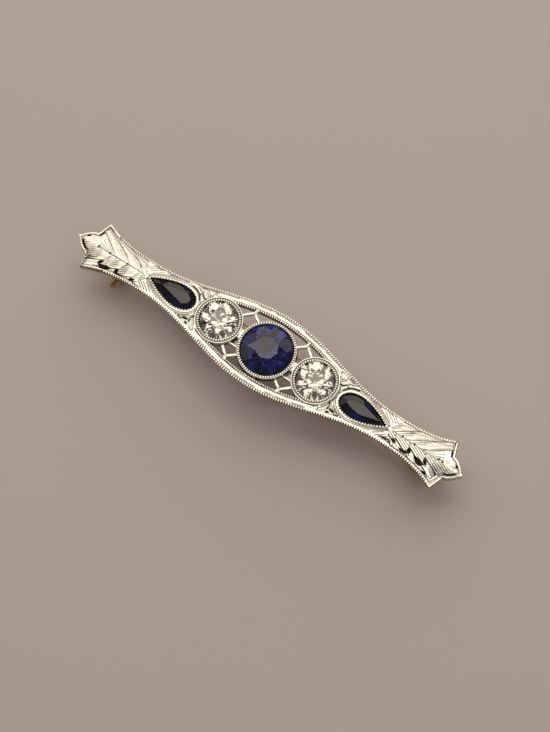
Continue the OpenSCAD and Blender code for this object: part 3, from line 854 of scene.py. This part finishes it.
def round_stone(radius, table, crown_h, pavilion_h, culet, lower_half, centre, turn=0.0):
    """Round brilliant about its girdle: table, stars, kites, halves and mains.

    table, culet and lower_half, the reach of the lower halves, are shares of the radius."""
    def ring(r, count, shift=0.0):
        a = 2 * np.pi / count * (np.arange(count) + shift)
        return np.stack([r * np.cos(a), r * np.sin(a)], -1)

    table_r, culet_r = radius * table, radius * culet
    star_r = (table_r + radius) / 2
    low_r = radius + (culet_r - radius) * lower_half
    flank = math.cos(math.radians(22.5))
    star_z = crown_h * (radius - star_r * flank) / (radius - table_r)
    low_z = -pavilion_h * (radius - low_r * flank) / (radius - culet_r)
    return cut_stone(((ring(table_r, 8), crown_h), (ring(star_r, 8, 0.5), star_z),
                      (ring(radius, 32), 0), (ring(radius, 32), -GIRDLE_T),
                      (ring(low_r, 8, 0.5), low_z - GIRDLE_T),
                      (ring(culet_r, 8), -pavilion_h - GIRDLE_T)), 0.5, centre, turn)


def pear_stone(centre, turned):
    """Pear cut with a kite-like table and a keeled pavilion; turned puts its point to -x."""
    kite = [(2.3, 0.0), (-0.3, 0.66), (-1.3, 0.5), (-2.3, 0.16)]
    if turned:
        kite = [(1.4, 0.0), (-1.9, 0.8), (-2.6, 0.3)]
    table = kite + [(x, -y) for x, y in kite[:0:-1]]
    girdle = pear_points(PEAR_L, PEAR_W, 25)[:-1]
    keel = ((-0.9, 0.0), (0.6, 0.0))
    return cut_stone(((table, 0.55), (girdle, 0.0), (girdle, -GIRDLE_T), (keel, -1.3)), 1.0,
                     centre, 180 if turned else 0)


class BROOCH_PG_metal(PropertyGroup):
    platinum: StringProperty(name="Platinum", description="Colour of the polished white metal",
                             default="#F4F3F0")
    # The dark colour of the metal, used both for soiling in the cuts and for painted shade in the
    # cuts, hollows, walls and underside
    tarnish_and_shade: StringProperty(name="Tarnish", description="Colour of dirt in the cuts",
                            default="#322B22")
    gold: StringProperty(name="Gold", description="Colour of the back and the pin",
                         default="#D0AB78")
    roughness: FloatProperty(name="Roughness", description="Mean roughness of the white metal",
                             default=0.16, min=0.02, max=0.6, subtype="FACTOR")
    bead_pitch: FloatProperty(name="Bead pitch", description="Spacing of the edges' beads",
                              default=0.33 * MM, min=0.2 * MM, max=0.5 * MM, unit="LENGTH",
                              precision=5)


class BROOCH_PG_stones(PropertyGroup):
    sapphire: StringProperty(name="Sapphire", description="Colour of the round sapphire",
                             default="#222A80")
    dark_sapphire: StringProperty(name="Dark sapphire", description="Colour of the pear stones",
                                  default="#090C44")
    diamond: StringProperty(name="Diamond", description="Colour of the diamonds",
                            default="#FFFFFF")


class BROOCH_PG_stage(PropertyGroup):
    floor: StringProperty(name="Floor", description="Colour of the floor", default="#E6DEE1")
    light: StringProperty(name="Light", description="Colour of the softboxes",
                          default="#FFF2DF")
    lens: FloatProperty(name="Lens", description="Focal length of the camera",
                        default=95.2, min=20, max=300, unit="CAMERA")
    azimuth: FloatProperty(name="Azimuth", description="Camera's turn round the brooch",
                           default=math.radians(33.6), subtype="ANGLE")
    elevation: FloatProperty(name="Elevation", description="Camera's height angle",
                             default=math.radians(72), min=math.radians(5),
                             max=math.radians(89), subtype="ANGLE")
    distance: FloatProperty(name="Distance", description="Camera's distance",
                            default=240 * MM, min=80 * MM, max=1.0, unit="LENGTH")


class BROOCH_OT_plaque(Operator):
    """Carves the border strips and the engraved ends"""
    bl_idname = "brooch.plaque"
    bl_label = "Plaque"

    def execute(self, context):
        platinum()
        build_strip("border_far", 1)
        build_strip("border_near", -1)
        build_end("leaf_end_right", 1, replaces=("white_mount",))
        build_end("leaf_end_left", -1)
        return {"FINISHED"}


class BROOCH_OT_collets(Operator):
    """Turns the three round collets"""
    bl_idname = "brooch.collets"
    bl_label = "Collets"

    def execute(self, context):
        a = np.linspace(0, 2 * math.pi, 200)
        for name, x, stone_r, outer_r, rim, lip, collar, inside in COLLETS:
            # Painted shade: the channel under the lip and the outer wall below the face are
            # painted dark, the collar less, and the inside by the collet's own value
            def grime_and_shade(co):
                r = math.hypot(co.x - x, co.y)
                if rim - 0.17 < co.z < rim - 0.08 and r < outer_r - 0.1:
                    return 0.85
                if co.z > FACE_Z - 0.3:
                    return 0.0
                if r > outer_r + 0.1:
                    return 0.35
                return 0.85 if r > outer_r - 0.1 else inside

            bm = spun_ring(collet_profile(stone_r, outer_r, rim, lip, collar), x)
            paint_grime_and_shade(bm, grime_and_shade)
            add_piece(name, bm, smooth_angle=30)
            bead_r = stone_r + 0.1
            path = np.stack([x + bead_r * np.cos(a), bead_r * np.sin(a),
                             np.full_like(a, rim - 0.03)], -1)
            bead_row(name + "_grain", path, FINE_PITCH, COLLET_BEAD)
        return {"FINISHED"}


class BROOCH_OT_millegrain(Operator):
    """Rolls the rows of beads along the edges"""
    bl_idname = "brooch.millegrain"
    bl_label = "Millegrain"

    def execute(self, context):
        pitch = context.scene.brooch_metal.bead_pitch / MM
        for name, side, ends, inset, sunk, bead in EDGE_ROWS:
            path = inset_line(*ends, inset, side) - (0, 0, sunk)
            bead_row("grain_edge_" + name, path, pitch, bead)
            path = inset_line(*GALLERY_ENDS, GALLERY_INSET, side)
            bead_row("grain_gallery_" + name, path, FINE_PITCH, GALLERY_BEAD)
        return {"FINISHED"}


class BROOCH_OT_gallery(Operator):
    """Sets the struts and bridges of the pierced gallery"""
    bl_idname = "brooch.gallery"
    bl_label = "Gallery"

    def execute(self, context):
        bm = bmesh.new()
        bm.verts.layers.float.new("grime_and_shade")
        for sx in (1, -1):
            for sy in (1, -1):
                for *ends, tops, deep, wide in GALLERY_BARS:
                    start, end = (Vector((sx * x, sy * y)) for x, y in ends)
                    along, middle = end - start, (start + end) / 2
                    top = tops[0] if sy > 0 else tops[1]
                    add_bar(bm, (*middle, top - deep / 2), (along.length + 0.12, wide, deep),
                            math.atan2(along.y, along.x), bevel=0.07)
        # Bridges between the collets with a ledge beside each, and the border's hold on the
        # sapphire's collet
        for sx in (1, -1):
            add_bar(bm, (BRIDGE_X * sx, 0.1, 6.4), (0.7, 1.4, 0.9), bevel=0.12, segments=3)
            add_bar(bm, (BRIDGE_X * sx, -0.95, 5.9), (0.75, 1.1, 0.5))
        for sy in (1, -1):
            add_bar(bm, (0, 3.95 * sy, 6.25), (1.5, 0.5, 0.5))
        # Everything below the tops of the struts and bridges is painted dark, as painted shade
        paint_grime_and_shade(bm, lambda co: 0.0 if co.z > 6.6 else 0.7)
        add_piece("gallery", bm, smooth_angle=40)
        return {"FINISHED"}


class BROOCH_OT_pear_settings(Operator):
    """Raises the bead-edged settings of the pear stones"""
    bl_idname = "brooch.pear_settings"
    bl_label = "Pear settings"

    def execute(self, context):
        closed = np.concatenate([PEAR_SECTION, PEAR_SECTION[:1]])
        corner = np.arange(len(closed))
        level = float(face_height(PEAR_X))
        loop = pear_points(PEAR_L + 0.24, PEAR_W + 0.24, 160)
        for name, side in (("right", 1), ("left", -1)):
            def place(u, v):
                a = 2 * np.pi * u
                off, up = (np.interp(v * len(PEAR_SECTION), corner, closed[:, k]) for k in (0, 1))
                x = PEAR_X + (PEAR_L / 2 + off) * np.cos(a)
                y = (PEAR_W / 2 + off) * pear_bow(a)
                # The walls below the face and the channel next to the stone are painted dark, as
                # painted shade
                return side * x, y, level + up, np.where((up < -0.08) | (off < 0.21), 0.9, 0.0)

            bm = warped_grid(120, len(PEAR_SECTION), place)
            bmesh.ops.remove_doubles(bm, verts=bm.verts, dist=0.0005)
            add_piece("pear_setting_" + name, bm, smooth_angle=35)
            path = np.stack([side * (loop[:, 0] + PEAR_X), loop[:, 1],
                             np.full(len(loop), level + 0.05)], -1)
            bead_row("pear_grain_" + name, path, PEAR_PITCH, PEAR_BEAD)
        return {"FINISHED"}


class BROOCH_OT_stones(Operator):
    """Cuts the five stones"""
    bl_idname = "brooch.stones"
    bl_label = "Stones"

    def execute(self, context):
        look = context.scene.brooch_stones
        blue = gem("sapphire_cut", look.sapphire, look.dark_sapphire, SAPPHIRE_IOR)
        navy = gem("sapphire_dark_cut", look.dark_sapphire, "#04061F", SAPPHIRE_IOR)
        clear = gem("diamond_cut", look.diamond, "#FBF7EE", DIAMOND_IOR)
        bm = round_stone(SAPPHIRE_R, table=0.44, crown_h=1.1, pavilion_h=2.85, culet=0.04,
                         lower_half=0.72, centre=(0, 0, RIM_Z - GIRDLE_BELOW_RIM))
        add_piece("sapphire_round", bm, blue, replaces=("sapphire_center",))
        for name, side, turn in (("left", -1, 4), ("right", 1, 31)):
            centre = (side * DIAMOND_X, 0, DIAMOND_RIM - GIRDLE_BELOW_RIM)
            bm = round_stone(DIAMOND_R, table=0.44, crown_h=0.7, pavilion_h=1.96, culet=0.09,
                             lower_half=0.6, centre=centre, turn=turn)
            add_piece("diamond_old_cut_" + name, bm, clear,
                      replaces=("diamond_" + name,))
            bm = pear_stone((side * PEAR_X, 0, face_height(PEAR_X) - 0.12), side < 0)
            add_piece("sapphire_drop_" + name, bm, navy,
                      replaces=("sapphire_pear_" + name,))
        return {"FINISHED"}


class BROOCH_OT_gold_parts(Operator):
    """Finishes the gold back, the pin, its rivet and the catch"""
    bl_idname = "brooch.gold_parts"
    bl_label = "Gold parts"

    def execute(self, context):
        metal = gold()
        for node in ("gold_back", "hinge_rivet", "pin_stem", "catch_lever"):
            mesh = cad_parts[node].data
            mesh.materials.clear()
            mesh.materials.append(metal)
        return {"FINISHED"}


class BROOCH_OT_stage(Operator):
    """Lays the floor and sets the lights and the camera"""
    bl_idname = "brooch.stage"
    bl_label = "Stage"

    def execute(self, context):
        look = context.scene.brooch_stage
        bm = bmesh.new()
        bmesh.ops.create_grid(bm, x_segments=1, y_segments=1, size=0.9)
        floor = add_object("floor", finished_mesh("floor", bm))
        # Matt paper, off-white: an even ground with no shine
        material = new_material("floor_paper")
        tree = material.node_tree
        shader = add_node(tree, "BsdfPrincipled", (-200, 0),
                          in_Base_Color=srgb(look.floor), in_Roughness=0.9)
        add_node(tree, "OutputMaterial", (100, 0), [(shader.outputs["BSDF"], "Surface")])
        floor.data.materials.append(material)

        for name, at, size, power in LIGHTS:
            light = bpy.data.lights.new(name, "AREA")
            light.shape = "RECTANGLE"
            light.size, light.size_y = size
            light.energy = power
            light.color = srgb(look.light)[:3]
            lamp = add_object(name, light)
            lamp.location = at
            lamp.rotation_euler = (-Vector(at)).to_track_quat("-Z", "Y").to_euler()

        world = bpy.data.worlds.new("studio")
        context.scene.world = world
        world.use_nodes = True
        back = world.node_tree.nodes["Background"]
        back.inputs["Color"].default_value = srgb("#C8BEB2")
        back.inputs["Strength"].default_value = 0.2

        az, el = look.azimuth, look.elevation
        back_dir = Vector((math.sin(az) * math.cos(el), -math.cos(az) * math.cos(el),
                           math.sin(el)))
        right = Vector((math.cos(az), math.sin(az), 0))
        up = back_dir.cross(right)
        aim = Vector((0, 0, AIM_Z)) + right * AIM_SHIFT[0] + up * AIM_SHIFT[1]
        context.scene.view_settings.view_transform = "Standard"
        data = bpy.data.cameras.new("camera")
        data.lens = look.lens
        data.clip_start = 0.01
        camera = add_object("camera", data)
        place = Matrix((right, up, back_dir)).transposed().to_4x4()
        place.translation = aim * MM + back_dir * look.distance
        camera.matrix_world = place
        context.scene.camera = camera
        return {"FINISHED"}


class BROOCH_PT_panel(Panel):
    """Lists the brooch's settings and its operators"""
    bl_label = "Bar brooch"
    bl_idname = "BROOCH_PT_panel"
    bl_space_type = "VIEW_3D"
    bl_region_type = "UI"
    bl_category = "Brooch"

    def draw(self, context):
        layout = self.layout
        for group in GROUPS:
            data = getattr(context.scene, group)
            for key in data.bl_rna.properties.keys():
                if key not in ("rna_type", "name"):
                    layout.prop(data, key)
        for operator in OPERATORS:
            layout.operator(operator.bl_idname)


OPERATORS = (BROOCH_OT_plaque, BROOCH_OT_collets, BROOCH_OT_millegrain, BROOCH_OT_gallery,
             BROOCH_OT_pear_settings, BROOCH_OT_stones, BROOCH_OT_gold_parts, BROOCH_OT_stage)
GROUPS = {"brooch_metal": BROOCH_PG_metal, "brooch_stones": BROOCH_PG_stones,
          "brooch_stage": BROOCH_PG_stage}
CLASSES = (*GROUPS.values(), *OPERATORS, BROOCH_PT_panel)


def register():
    for cls in CLASSES:
        bpy.utils.register_class(cls)
    for name, group in GROUPS.items():
        setattr(bpy.types.Scene, name, PointerProperty(type=group))


def unregister():
    for name in GROUPS:
        delattr(bpy.types.Scene, name)
    for cls in reversed(CLASSES):
        bpy.utils.unregister_class(cls)


def main():
    register()
    for operator in OPERATORS:
        area, name = operator.bl_idname.split(".")
        getattr(getattr(bpy.ops, area), name)()


if __name__ == "__main__":
    main()
